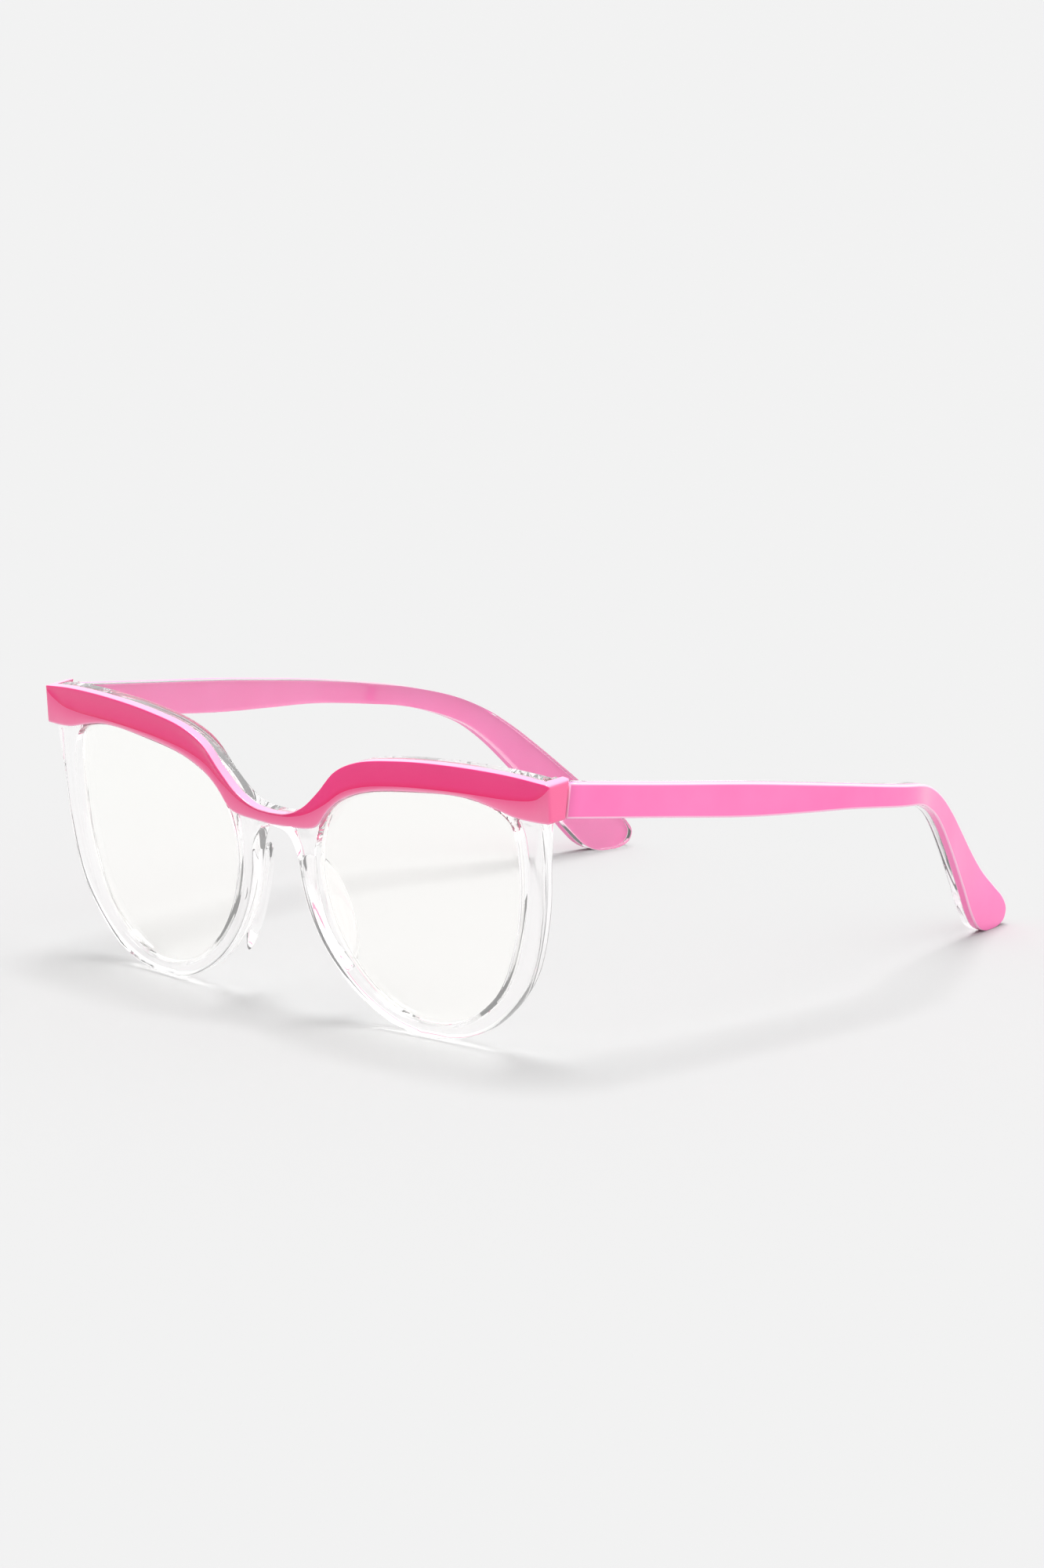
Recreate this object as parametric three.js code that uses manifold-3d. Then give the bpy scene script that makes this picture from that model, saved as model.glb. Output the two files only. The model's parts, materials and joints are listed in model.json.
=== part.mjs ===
// Blue-light glasses: a cat-eye acetate frame with plano lenses, standing open on its rims and tips.
// Millimetres. +X is the wearer's left, -Y is the way the lenses look and +Z is up.
// Z = 0 is the table under the rims and the temple tips; the origin is the middle of the footprint.
//
// The front is drawn flat in its own frame (u right, v up, w back), bent round the face and leaned
// forward. It is two laminated layers: a pink bar over the brow, and a clear plate that also makes
// the rims. Each temple is a pink plate over a clear one, on a five-knuckle hinge.

import * as THREE from "three";
import { TessellateModifier } from "three/addons/modifiers/TessellateModifier.js";
import { mergeVertices } from "three/addons/utils/BufferGeometryUtils.js";
import Module from "manifold-3d";

const wasm = await Module();
wasm.setup();

// ---- Driving dimensions ----

const DEGREE = Math.PI / 180;

const FACE_RADIUS = 402.5; // bend of the front round the face, seen from above
const FRONT_LEAN = 4.65 * DEGREE; // the brow leans forward of the rims
const FRONT_DEPTH = 4.5; // pink front face to clear back face
const RIM_SETBACK = 0.7; // the clear rims stand this far behind the pink face
const BROW_DEPTH = 2.0; // thickness of the pink layer
const SEAM = 0.2; // clearance between laminated pieces
const END_HALF_WIDTH = 69.4; // middle of the bridge to the outer side of an end-piece
const END_WRAP = 2.0; // pink thickness on the outer side of an end-piece
const END_TOP = 53.2;
const END_BOTTOM = 45.7;
const END_BLOCK = 3.8; // the clear block behind an end-piece starts this far inside its outer side
const END_SPARE = 0.6; // length that the joint plane takes off an end-piece

const LENS_MIDDLE = 3.15; // depth of the middle of the lens edge
const LENS_THICKNESS = 1.5;
const LENS_BEVEL = 0.75; // how far the lens edge reaches into its groove
const GROOVE_CLEARANCE = 0.15;

const JOINT_HEIGHT = 49.9; // middle of the joint between an end-piece and a temple
const JOINT_DEPTH = 7.15;
const JOINT_HALF_HEIGHT = 3.38;
const TEMPLE_SLOPE = 7.8 * DEGREE; // fall of the temple towards the ear
const JOINT_GAP = 0.3;
const TEMPLE_PINK = 1.7; // layer thicknesses of a temple
const TEMPLE_CLEAR = 1.9;
const TEMPLE_SEAM = 0.15;
const TEMPLE_HALF = (TEMPLE_PINK + TEMPLE_CLEAR + TEMPLE_SEAM) / 2;

const PIN_X = 63.9; // hinge pin
const PIN_Y = 7.8;
const HINGE_HEIGHT = 5.0;
const KNUCKLE_COUNT = 5;
const KNUCKLE_GAP = 0.1;
const KNUCKLE_RADIUS = 1.25;
const PIN_RADIUS = 0.6;
const PIN_CLEARANCE = 0.1;
const PIN_HEAD_RADIUS = 1.05;
const ARM_THICKNESS = 1.1; // arm between a leaf and its knuckle
const ARM_OVERLAP = 0.4;
const LEAF_THICKNESS = 0.8;
const LEAF_LENGTH = 7.0;
const LEAF_HEIGHT = 4.4;
const LEAF_SEAT = 0.25; // clearance under a leaf
const LEAF_SCREW_SPACING = 3.6;
const LEAF_SCREW_RADIUS = 0.45;
const LEAF_SCREW_HEAD = 0.85;
const LEAF_SCREW_LENGTH = 1.6; // into the acetate
const LEAF_SCREW_CLEARANCE = 0.15;
const FRONT_LEAF_U = 58.6; // middle of the front leaf
const FRONT_LEAF_DROP = 0.4; // below the joint's middle
const TEMPLE_LEAF_Y = 12.9; // middle of the temple leaf

// ---- Outlines, in millimetres ----

// Right half of the lens opening, as the wearer's left eye has it: closed, from the nasal side up.
const OPENING = [
  [11.0, 31.5], [14.3, 40.3], [22.5, 45.4], [36.0, 47.8], [51.0, 48.2], [59.3, 45.0], [60.9, 37.0],
  [59.2, 22.5], [53.8, 10.4], [43.0, 3.3], [31.0, 3.1], [20.5, 8.9], [13.2, 18.8],
];

// Outer edge of the clear rim, from the end-piece down to the flat foot under the lens.
const FOOT = [[39.8, -0.2], [33.4, -0.2]];
const RIM_OUTSIDE = [
  [66.6, 45.9], [66.2, 38.0], [65.1, 26.0], [61.3, 13.8], [53.0, 4.5], [45.7, 0.9], FOOT[0],
];
// From the foot up the nasal side to the arch under the bridge.
const RIM_NASAL = [FOOT[1], [27.5, 1.2], [18.9, 5.9], [12.3, 12.4], [8.4, 19.0], [6.3, 26.0], [5.6, 32.0]];
const ARCH = [[3.6, 35.3], [0, 36.1]];

// Half outlines of the brow, from the middle of the bridge outwards.
const BROW_TOP = [
  [0, 39.0], [4.5, 39.4], [9.0, 41.3], [13.5, 45.0], [18.2, 49.6], [24.0, 52.2], [34.0, 53.8],
  [47.0, 54.5], [60.0, 54.2], [END_HALF_WIDTH, END_TOP],
];
const BROW_CREASE = [
  [0, 38.5], [5.0, 38.8], [9.5, 40.0], [14.3, 42.5], [18.5, 45.3], [24.0, 47.2], [34.0, 48.6],
  [48.0, 49.2], [61.0, 49.2], [65.5, 49.9], [68.0, 51.4], [END_HALF_WIDTH, 52.7],
];
const BROW_BOTTOM = [
  [0, 36.5], [5.0, 36.7], [9.3, 37.0], [12.0, 37.8], [15.2, 41.3], [19.0, 44.1], [26.0, 46.6],
  [37.0, 48.1], [50.0, 48.5], [56.5, 47.3], [61.0, 46.2], [65.0, 45.8], [END_HALF_WIDTH, END_BOTTOM],
];
// Depth of the scooped face at the crease and at the bottom edge, along the same half.
const CREASE_DEPTH = [[0, 0.35], [10, 0.7], [18, 1.1], [60, 1.2], [66, 0.9], [END_HALF_WIDTH, 0]];
const BOTTOM_DEPTH = [[0, 0.4], [20, 0.6], [52, 0.6], [62, 0.1], [END_HALF_WIDTH, 0]];

// Upper and lower edges of a temple from the side, [y, z], ruled point to point.
function jointCorner(end) {
  const [alongY, alongZ] = [Math.cos(TEMPLE_SLOPE), Math.sin(TEMPLE_SLOPE)];
  const [gap, rise] = [JOINT_GAP / 2, end * JOINT_HALF_HEIGHT];
  return [JOINT_DEPTH + gap * alongY + rise * alongZ, JOINT_HEIGHT - gap * alongZ + rise * alongY];
}
const TEMPLE_UPPER = [
  jointCorner(1), [30, 50.2], [52, 47.3], [66, 45.2], [80, 43.0], [95, 40.4], [104, 38.7], [112, 36.3],
  [118.5, 33.0], [124, 29.0], [130, 23.7], [136, 18.1], [142, 12.6], [147.1, 8.5], [150.3, 5.8],
  [151.8, 3.3], [151.0, 1.2], [148.8, 0.2], [147.2, 0],
];
const TEMPLE_LOWER = [
  jointCorner(-1), [29.2, 43.6], [51.2, 40.7], [65.3, 39.4], [79.4, 38.2], [94.4, 36.1], [102.6, 34.8],
  [109.4, 32.6], [114.6, 30.0], [119, 26.4], [124.1, 20.9], [128.8, 15.2], [132.9, 10.0], [135.6, 6.2],
  [137.4, 4.0], [139.2, 2.1], [141.2, 0.75], [143.2, 0.1], [144.6, 0],
];
// Middle of a temple's thickness from above, [y, x].
const TEMPLE_PLAN = [
  [6, 67.45], [35, 70.8], [65, 73.7], [86, 74.6], [99, 72.3], [111, 66.3], [125, 60.3], [140, 54.5],
  [153, 51.9],
];

// ---- Materials ----

const plastic = (color, opacity) =>
  new THREE.MeshStandardMaterial({
    color,
    roughness: 0.08,
    metalness: 0,
    transparent: opacity < 1,
    opacity,
  });
const pinkAcetate = plastic(0xfb6fb0, 1);
const clearAcetate = plastic(0xf4f4f2, 0.35);
const lensMaterial = plastic(0xf9f9f2, 0.25);
const padMaterial = plastic(0xf2f2ee, 0.4);
const nickelSilver = new THREE.MeshStandardMaterial({ color: 0xc9c5bd, roughness: 0.3, metalness: 1 });
const screwSteel = new THREE.MeshStandardMaterial({ color: 0xb9b9bb, roughness: 0.25, metalness: 1 });

// ---- Solids ----

function bare(geometry) {
  const copy = geometry.clone();
  copy.deleteAttribute("normal");
  copy.deleteAttribute("uv");
  return mergeVertices(copy, 1e-4);
}

function toSolid(geometry) {
  const merged = bare(geometry);
  const mesh = new wasm.Mesh({
    numProp: 3,
    vertProperties: new Float32Array(merged.attributes.position.array),
    triVerts: new Uint32Array(merged.index.array),
  });
  mesh.merge();
  return new wasm.Manifold(mesh);
}

function toGeometry(solid) {
  const mesh = solid.getMesh();
  const geometry = new THREE.BufferGeometry();
  geometry.setAttribute("position", new THREE.BufferAttribute(mesh.vertProperties, 3));
  geometry.setIndex(new THREE.BufferAttribute(mesh.triVerts, 1));
  geometry.computeVertexNormals();
  return geometry;
}

// Cuts every tool out of a body, or joins every tool to it.
const cut = (body, ...tools) => tools.reduce((solid, tool) => solid.subtract(toSolid(tool)), body);
const join = (body, ...tools) => tools.reduce((solid, tool) => solid.add(toSolid(tool)), body);

function mapPoints(geometry, map) {
  const position = geometry.attributes.position;
  const point = new THREE.Vector3();
  for (let i = 0; i < position.count; i += 1) {
    map(point.fromBufferAttribute(position, i));
    position.setXYZ(i, point.x, point.y, point.z);
  }
  position.needsUpdate = true;
  geometry.computeVertexNormals();
  return geometry;
}

// The same shape for the wearer's right side, with its faces turned outwards again.
function mirrored(geometry) {
  const copy = mapPoints(bare(geometry), (point) => {
    point.x = -point.x;
  });
  return turnedOver(copy);
}

const forSide = (geometry, side) => (side > 0 ? geometry : mirrored(geometry));

// ---- Curves ----

const flipped = (points) => points.map(([u, v]) => [-u, v]).reverse();

function curveThrough(points, closed = false) {
  const knots = points.map(([a, b]) => new THREE.Vector3(a, b, 0));
  return new THREE.CatmullRomCurve3(knots, closed, "centripetal");
}

const sampled = (points, count, closed) =>
  curveThrough(points, closed)
    .getSpacedPoints(count)
    .map(({ x, y }) => new THREE.Vector2(x, y));

// Straight runs between knots whose first coordinate only grows, read as a function of it.
function ramp(points) {
  const last = points.length - 1;
  return (at) => {
    const next = Math.max(1, points.findIndex(([x]) => x >= at));
    const run = at >= points[last][0] ? last : next;
    const [from, to] = [points[run - 1], points[run]];
    const inside = THREE.MathUtils.clamp(at, from[0], to[0]);
    return THREE.MathUtils.mapLinear(inside, from[0], to[0], from[1], to[1]);
  };
}

// The same for a smooth curve through the knots.
const track = (points) =>
  ramp(
    curveThrough(points)
      .getPoints(24 * points.length)
      .map(({ x, y }) => [x, y]),
  );

// ---- The front's own frame ----

// Flat (u, v, w) to the bent front before it leans: u becomes x, v becomes z and w becomes y.
function bendFront(point) {
  const { x: u, y: v, z: w } = point;
  point.set(u, (u * u) / (2 * FACE_RADIUS) + w, v);
}

// A flat plate from w = near to w = far.
function plate(outline, near, far, holes = []) {
  const shape = new THREE.Shape(outline);
  shape.holes = holes.map((points) => new THREE.Path(points));
  const geometry = new THREE.ExtrudeGeometry(shape, { depth: far - near, bevelEnabled: false });
  return geometry.translate(0, 0, near);
}

function turnedOver(geometry) {
  const index = geometry.index.array;
  for (let i = 0; i < index.length; i += 3) {
    [index[i], index[i + 1]] = [index[i + 1], index[i]];
  }
  geometry.computeVertexNormals();
  return geometry;
}

// Long edges are halved until the bend is smooth.
function bentFront(geometry) {
  const longestEdge = 9;
  const rounds = 14;
  const fine = new TessellateModifier(longestEdge, rounds).modify(bare(geometry).toNonIndexed());
  return facingOut(mapPoints(bare(fine), bendFront));
}

// Everything behind the joint plane, which stands square to the temple.
function behindJoint() {
  const size = 40;
  const height = 2 * JOINT_HALF_HEIGHT + 3;
  const block = new THREE.BoxGeometry(5 * size, size, height);
  block.translate(0, size / 2 - JOINT_GAP / 2, 0);
  block.rotateX(-(TEMPLE_SLOPE + FRONT_LEAN));
  const joint = new THREE.Vector3(0, JOINT_DEPTH, JOINT_HEIGHT);
  joint.applyAxisAngle(new THREE.Vector3(1, 0, 0), -FRONT_LEAN);
  return block.translate(0, joint.y, joint.z);
}

const browTop = track(BROW_TOP);
const browCrease = track(BROW_CREASE);
const browBottom = track(BROW_BOTTOM);
const creaseDepth = ramp(CREASE_DEPTH);
const bottomDepth = ramp(BOTTOM_DEPTH);

// ---- Clear front: back layer, rims and bridge in one plate ----

const openingLeft = sampled(OPENING, 56, true).slice(0, -1);
const openingRight = openingLeft.map(({ x, y }) => new THREE.Vector2(-x, y));

function clearOutline() {
  const inset = END_HALF_WIDTH - END_WRAP - SEAM;
  const topRun = [...flipped(BROW_TOP.slice(1, -1)), ...BROW_TOP.slice(0, -1)];
  const nasal = RIM_NASAL.slice(1);
  const arch = [...nasal, ...ARCH, ...flipped(ARCH.slice(0, -1)), ...flipped(nasal)];
  const corner = (u, v) => new THREE.Vector2(u, v);
  return [
    ...sampled(topRun, 72),
    corner(inset, END_TOP),
    corner(inset, END_BOTTOM + SEAM),
    ...sampled(RIM_OUTSIDE, 26),
    corner(...FOOT[1]),
    ...sampled(arch, 60),
    corner(-FOOT[1][0], FOOT[1][1]),
    ...sampled(flipped(RIM_OUTSIDE), 26),
    corner(-inset, END_BOTTOM + SEAM),
    corner(-inset, END_TOP),
  ].reverse();
}

// The room that the pink bar takes out of the clear plate.
function browPocket() {
  const reach = 74;
  const roof = 60;
  const step = 2;
  const below = [];
  for (let u = -reach; u <= reach; u += step) {
    below.push(new THREE.Vector2(u, browBottom(Math.abs(u)) - SEAM));
  }
  const corners = [new THREE.Vector2(reach, roof), new THREE.Vector2(-reach, roof)];
  return plate([...below, ...corners], -1, BROW_DEPTH + SEAM);
}

// A lens blank with a V edge, grown all round by an allowance for the groove that it sits in.
function beveledLens(outline, allowance) {
  const flat = 0.2;
  const geometry = new THREE.ExtrudeGeometry(new THREE.Shape(outline), {
    depth: flat,
    bevelThickness: (LENS_THICKNESS - flat) / 2 + allowance,
    bevelSize: LENS_BEVEL + 2 * allowance,
    bevelOffset: -GROOVE_CLEARANCE,
    bevelSegments: 1,
  });
  return geometry.translate(0, 0, LENS_MIDDLE - flat / 2);
}

// The faces of a closed mesh are turned over when they point into it.
function facingOut(geometry) {
  const position = geometry.attributes.position;
  const index = geometry.index.array;
  const [a, b, c] = [new THREE.Vector3(), new THREE.Vector3(), new THREE.Vector3()];
  let volume = 0;
  for (let i = 0; i < index.length; i += 3) {
    a.fromBufferAttribute(position, index[i]);
    b.fromBufferAttribute(position, index[i + 1]);
    c.fromBufferAttribute(position, index[i + 2]);
    volume += a.dot(b.cross(c));
  }
  return volume < 0 ? turnedOver(geometry) : geometry;
}

// A short block behind each end-piece, between the hinge and the pink wrap.
function endBlock(side, inner, outer, near, margin) {
  const depth = JOINT_DEPTH + END_SPARE - near;
  const height = END_TOP - END_BOTTOM - 2 * margin;
  const block = new THREE.BoxGeometry(outer - inner, height, depth);
  return block.translate((side * (outer + inner)) / 2, END_BOTTOM + margin + height / 2, near + depth / 2);
}

function clearFront() {
  const [inner, outer] = [END_HALF_WIDTH - END_BLOCK, END_HALF_WIDTH - END_WRAP - SEAM];
  const flat = join(
    toSolid(plate(clearOutline(), RIM_SETBACK, FRONT_DEPTH, [openingLeft, openingRight])),
    endBlock(1, inner, outer, FRONT_DEPTH / 2, SEAM),
    endBlock(-1, inner, outer, FRONT_DEPTH / 2, SEAM),
  );
  const grooved = cut(
    flat,
    browPocket(),
    beveledLens(openingLeft, GROOVE_CLEARANCE),
    beveledLens(openingRight, GROOVE_CLEARANCE),
  );
  const bent = toSolid(bentFront(toGeometry(grooved)));
  return cut(bent, behindJoint());
}

// ---- Pink brow bar: a scooped bar with a wrap on each end-piece ----

// Its section is a five-sided ring, swept in steps along u. Each corner then takes its own height
// and depth from the outlines.
function browBar() {
  const foot = 0;
  const crease = 1;
  const top = 2;
  const section = new THREE.Shape([
    new THREE.Vector2(0, foot),
    new THREE.Vector2(0, crease),
    new THREE.Vector2(0, top),
    new THREE.Vector2(1, top),
    new THREE.Vector2(1, foot),
  ]);
  const steps = 92;
  const bar = bare(new THREE.ExtrudeGeometry(section, { depth: 1, steps, bevelEnabled: false }));
  mapPoints(bar, (point) => {
    const level = Math.round(point.y);
    const isBack = point.x > 0.5;
    const u = (2 * point.z - 1) * END_HALF_WIDTH;
    const reach = Math.abs(u);
    const heights = [browBottom(reach), browCrease(reach), browTop(reach)];
    const depths = [bottomDepth(reach), creaseDepth(reach), 0];
    point.set(u, heights[level], isBack ? BROW_DEPTH : depths[level]);
  });
  return bar;
}

function pinkBrow() {
  const inner = END_HALF_WIDTH - END_WRAP;
  const inset = 0.05;
  const flat = join(
    toSolid(facingOut(browBar())),
    endBlock(1, inner, END_HALF_WIDTH, BROW_DEPTH / 2, inset),
    endBlock(-1, inner, END_HALF_WIDTH, BROW_DEPTH / 2, inset),
  );
  return cut(toSolid(bentFront(toGeometry(flat))), behindJoint());
}

// ---- Nose pads ----

const PAD = {
  middle: [10.0, 19.5, 5.0], // u, v, w
  size: [1.7, 12.0, 4.8], // half thickness, half height, half depth
  splay: 19 * DEGREE, // the lower end stands away from the nose
  flare: 28 * DEGREE, // the back edge opens towards the cheek
};

function nosePad() {
  const pad = new THREE.SphereGeometry(1, 22, 16).scale(PAD.size[0], PAD.size[1], PAD.size[2]);
  pad.rotateY(PAD.flare);
  pad.rotateZ(PAD.splay);
  pad.translate(...PAD.middle);
  const front = new THREE.BoxGeometry(60, 80, 20).translate(0, 20, FRONT_DEPTH + SEAM - 10);
  return facingOut(mapPoints(bare(toGeometry(cut(toSolid(pad), front))), bendFront));
}

// ---- Temples ----

const templePlan = track(TEMPLE_PLAN);
const templeTurn = (y) => templePlan(y + 0.5) - templePlan(y - 0.5); // its slope in plan

// A layer of a temple: the ruled side outline, given its thickness and bowed in plan.
// from and to are distances from the middle of the whole temple, outwards.
function templeLayer(from, to) {
  const steps = 64;
  const upper = curveThrough(TEMPLE_UPPER);
  const lower = curveThrough(TEMPLE_LOWER);
  const section = new THREE.Shape([
    new THREE.Vector2(0, 0),
    new THREE.Vector2(1, 0),
    new THREE.Vector2(1, 1),
    new THREE.Vector2(0, 1),
  ]);
  const layer = bare(new THREE.ExtrudeGeometry(section, { depth: 1, steps, bevelEnabled: false }));
  mapPoints(layer, (point) => {
    const edge = point.y > 0.5 ? upper : lower;
    const at = edge.getPoint(THREE.MathUtils.clamp(point.z, 0, 1));
    const offset = (point.x > 0.5 ? to : from) * Math.hypot(1, templeTurn(at.x));
    point.set(templePlan(at.x) + offset, at.x, at.y);
  });
  return facingOut(layer);
}

// ---- Hinges: a three-knuckle leaf on the front, a two-knuckle leaf on the temple ----

const X_AXIS = new THREE.Vector3(1, 0, 0);
const Y_AXIS = new THREE.Vector3(0, 1, 0);
const PIN = new THREE.Vector3(PIN_X, PIN_Y, JOINT_HEIGHT);
const KNUCKLE_PITCH = HINGE_HEIGHT / KNUCKLE_COUNT;
const SCREW_ENDS = [-1, 1];

// A leaf's frame: x along the leaf away from the pin, y out of the acetate and z across it.
function leafFrame(origin, along, outward) {
  const across = new THREE.Vector3().crossVectors(along, outward).normalize();
  return new THREE.Matrix4().makeBasis(along, outward, across).setPosition(origin);
}

// The front leaf lies on the back of the clear layer, inside the end-piece.
function frontLeafFrame() {
  const turn = Math.atan(FRONT_LEAF_U / FACE_RADIUS);
  const origin = new THREE.Vector3(FRONT_LEAF_U, JOINT_HEIGHT - FRONT_LEAF_DROP, FRONT_DEPTH);
  bendFront(origin);
  const along = new THREE.Vector3(-Math.cos(turn), -Math.sin(turn), 0);
  const outward = new THREE.Vector3(-Math.sin(turn), Math.cos(turn), 0);
  [origin, along, outward].forEach((vector) => vector.applyAxisAngle(X_AXIS, FRONT_LEAN));
  return leafFrame(origin, along, outward);
}

// The temple leaf lies on the inner side of the temple's clear layer.
function templeLeafFrame() {
  const turn = Math.atan(templeTurn(TEMPLE_LEAF_Y));
  const x = templePlan(TEMPLE_LEAF_Y) - TEMPLE_HALF / Math.cos(turn);
  const z = JOINT_HEIGHT - (TEMPLE_LEAF_Y - JOINT_DEPTH) * Math.tan(TEMPLE_SLOPE);
  const origin = new THREE.Vector3(x, TEMPLE_LEAF_Y, z);
  const along = new THREE.Vector3(Math.sin(turn), Math.cos(turn), 0);
  const outward = new THREE.Vector3(-Math.cos(turn), Math.sin(turn), 0);
  const fall = (vector) => vector.applyAxisAngle(outward, TEMPLE_SLOPE);
  return leafFrame(origin, fall(along), outward);
}

const cylinder = (radius, length, sides) =>
  new THREE.CylinderGeometry(radius, radius, length, sides).rotateX(Math.PI / 2);

// A leaf with the knuckles of the given levels, about the pin.
function hingeLeaf(frame, levels) {
  const toPin = new THREE.Matrix4().makeTranslation(-PIN.x, -PIN.y, -PIN.z).multiply(frame);
  const middle = LEAF_SEAT + LEAF_THICKNESS / 2;
  const board = new THREE.BoxGeometry(LEAF_LENGTH, LEAF_THICKNESS, LEAF_HEIGHT);
  board.translate(0, middle, 0).applyMatrix4(toPin);
  const root = new THREE.Vector3(ARM_OVERLAP - LEAF_LENGTH / 2, middle, 0).applyMatrix4(toPin);
  const reach = Math.hypot(root.x, root.y);
  const height = KNUCKLE_PITCH - KNUCKLE_GAP;
  const knuckles = levels.flatMap((level) => {
    const z = level * KNUCKLE_PITCH;
    const arm = new THREE.BoxGeometry(reach, ARM_THICKNESS, height).translate(reach / 2, 0, z);
    arm.rotateZ(Math.atan2(root.y, root.x));
    return [cylinder(KNUCKLE_RADIUS, height, 24).translate(0, 0, z), arm];
  });
  const bore = cylinder(PIN_RADIUS + PIN_CLEARANCE, 2 * HINGE_HEIGHT, 16);
  const holes = screwHoles(toPin);
  return toGeometry(cut(join(toSolid(board), ...knuckles), bore, ...holes));
}

// Round cutters for a leaf's two fixing screws, in the frame that place leads to.
function screwHoles(place) {
  const radius = LEAF_SCREW_RADIUS + LEAF_SCREW_CLEARANCE;
  const depth = LEAF_SCREW_LENGTH + 2 * LEAF_SCREW_CLEARANCE;
  const height = 2 * depth;
  return SCREW_ENDS.map((end) => {
    const hole = new THREE.CylinderGeometry(radius, radius, height, 12);
    return hole.translate((end * LEAF_SCREW_SPACING) / 2, height / 2 - depth, 0).applyMatrix4(place);
  });
}

const turned = (profile, sides) =>
  new THREE.LatheGeometry(profile.map(([radius, height]) => new THREE.Vector2(radius, height)), sides);

// Fixing screw: its head rests on the leaf and its shank goes into the acetate.
function leafScrew() {
  const seat = LEAF_SEAT + LEAF_THICKNESS + 0.05;
  return turned([
    [0, -LEAF_SCREW_LENGTH],
    [LEAF_SCREW_RADIUS * 0.6, -LEAF_SCREW_LENGTH],
    [LEAF_SCREW_RADIUS, -LEAF_SCREW_LENGTH + 0.3],
    [LEAF_SCREW_RADIUS, seat],
    [LEAF_SCREW_HEAD, seat],
    [LEAF_SCREW_HEAD * 0.95, seat + 0.2],
    [LEAF_SCREW_HEAD * 0.5, seat + 0.34],
    [0, seat + 0.38],
  ], 14);
}

// Hinge screw: it drops through all five knuckles from above.
function hingeScrew() {
  const half = HINGE_HEIGHT / 2;
  return turned([
    [0, -half - 0.1],
    [PIN_RADIUS, -half - 0.1],
    [PIN_RADIUS, half + 0.02],
    [PIN_HEAD_RADIUS, half + 0.02],
    [PIN_HEAD_RADIUS, half + 0.3],
    [PIN_HEAD_RADIUS * 0.75, half + 0.45],
    [0, half + 0.5],
  ], 20).rotateX(Math.PI / 2);
}

// ---- Assembly ----

const glasses = new THREE.Group();
const front = new THREE.Group();
front.rotation.x = FRONT_LEAN;
glasses.add(front);

function addPiece(parent, name, geometry, material) {
  const mesh = new THREE.Mesh(bare(geometry), material);
  mesh.geometry.computeVertexNormals();
  mesh.name = name;
  parent.add(mesh);
  return mesh;
}

// Screws go in along a leaf's own normal, which turns the other way on the wearer's right.
function addLeafScrews(parent, name, frame, side, origin) {
  const outward = new THREE.Vector3().setFromMatrixColumn(frame, 1);
  outward.x *= side;
  SCREW_ENDS.forEach((end) => {
    const screw = addPiece(parent, `${name}_${end < 0 ? "near" : "far"}`, leafScrew(), screwSteel);
    screw.position.set((end * LEAF_SCREW_SPACING) / 2, 0, 0).applyMatrix4(frame).sub(origin);
    screw.position.x *= side;
    screw.quaternion.setFromUnitVectors(Y_AXIS, outward);
  });
}

const frontFrame = frontLeafFrame();
const templeFrame = templeLeafFrame();
const unlean = new THREE.Matrix4().makeRotationX(-FRONT_LEAN);
const frontHoles = screwHoles(unlean.multiply(frontFrame));
const clearPlate = cut(clearFront(), ...frontHoles, ...frontHoles.map(mirrored));

addPiece(front, "crystal_front", toGeometry(clearPlate), clearAcetate);
addPiece(front, "brow_bar", toGeometry(pinkBrow()), pinkAcetate);

const lens = bentFront(beveledLens(openingLeft, 0));
const pad = nosePad();
const outerLayer = templeLayer(TEMPLE_HALF - TEMPLE_PINK, TEMPLE_HALF);
const innerLayer = toGeometry(
  cut(
    toSolid(templeLayer(-TEMPLE_HALF, TEMPLE_CLEAR - TEMPLE_HALF)),
    ...screwHoles(templeFrame),
  ),
);
const frontLeaf = hingeLeaf(frontFrame, [-2, 0, 2]);
const templeLeaf = hingeLeaf(templeFrame, [-1, 1]);

for (const [side, word] of [[1, "left"], [-1, "right"]]) {
  addPiece(front, `lens_${word}`, forSide(lens, side), lensMaterial);
  addPiece(front, `nose_pad_${word}`, forSide(pad, side), padMaterial);

  // One upright group at each hinge pin carries the front leaf, another the temple that swings.
  const post = new THREE.Group();
  post.position.set(side * PIN.x, PIN.y, PIN.z);
  glasses.add(post);
  addPiece(post, `front_hinge_${word}`, forSide(frontLeaf, side), nickelSilver);
  addPiece(post, `hinge_screw_${word}`, hingeScrew(), screwSteel);
  addLeafScrews(post, `front_leaf_screw_${word}`, frontFrame, side, PIN);

  const temple = new THREE.Group();
  temple.position.copy(post.position);
  glasses.add(temple);
  const local = (geometry) => forSide(geometry.clone().translate(-PIN.x, -PIN.y, -PIN.z), side);
  addPiece(temple, `temple_outer_${word}`, local(outerLayer), pinkAcetate);
  addPiece(temple, `temple_inner_${word}`, local(innerLayer), clearAcetate);
  addPiece(temple, `temple_hinge_${word}`, forSide(templeLeaf, side), nickelSilver);
  addLeafScrews(temple, `temple_leaf_screw_${word}`, templeFrame, side, PIN);
}

// The footprint's middle goes to the origin, and the rims and tips stand on Z = 0.
glasses.updateMatrixWorld(true);
const bounds = new THREE.Box3().setFromObject(glasses, true);
glasses.position.set(0, -(bounds.min.y + bounds.max.y) / 2, -bounds.min.z);
glasses.updateMatrixWorld(true);

export default glasses;
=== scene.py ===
"""Cat-eye glasses of laminated acetate, standing open on their rims and temple tips.

Lengths are in millimetres until a piece is placed, and MM turns them into the frame's metres.
"""

import bisect
import json
import math

import bmesh
import bpy
from mathutils import Matrix, Vector


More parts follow.
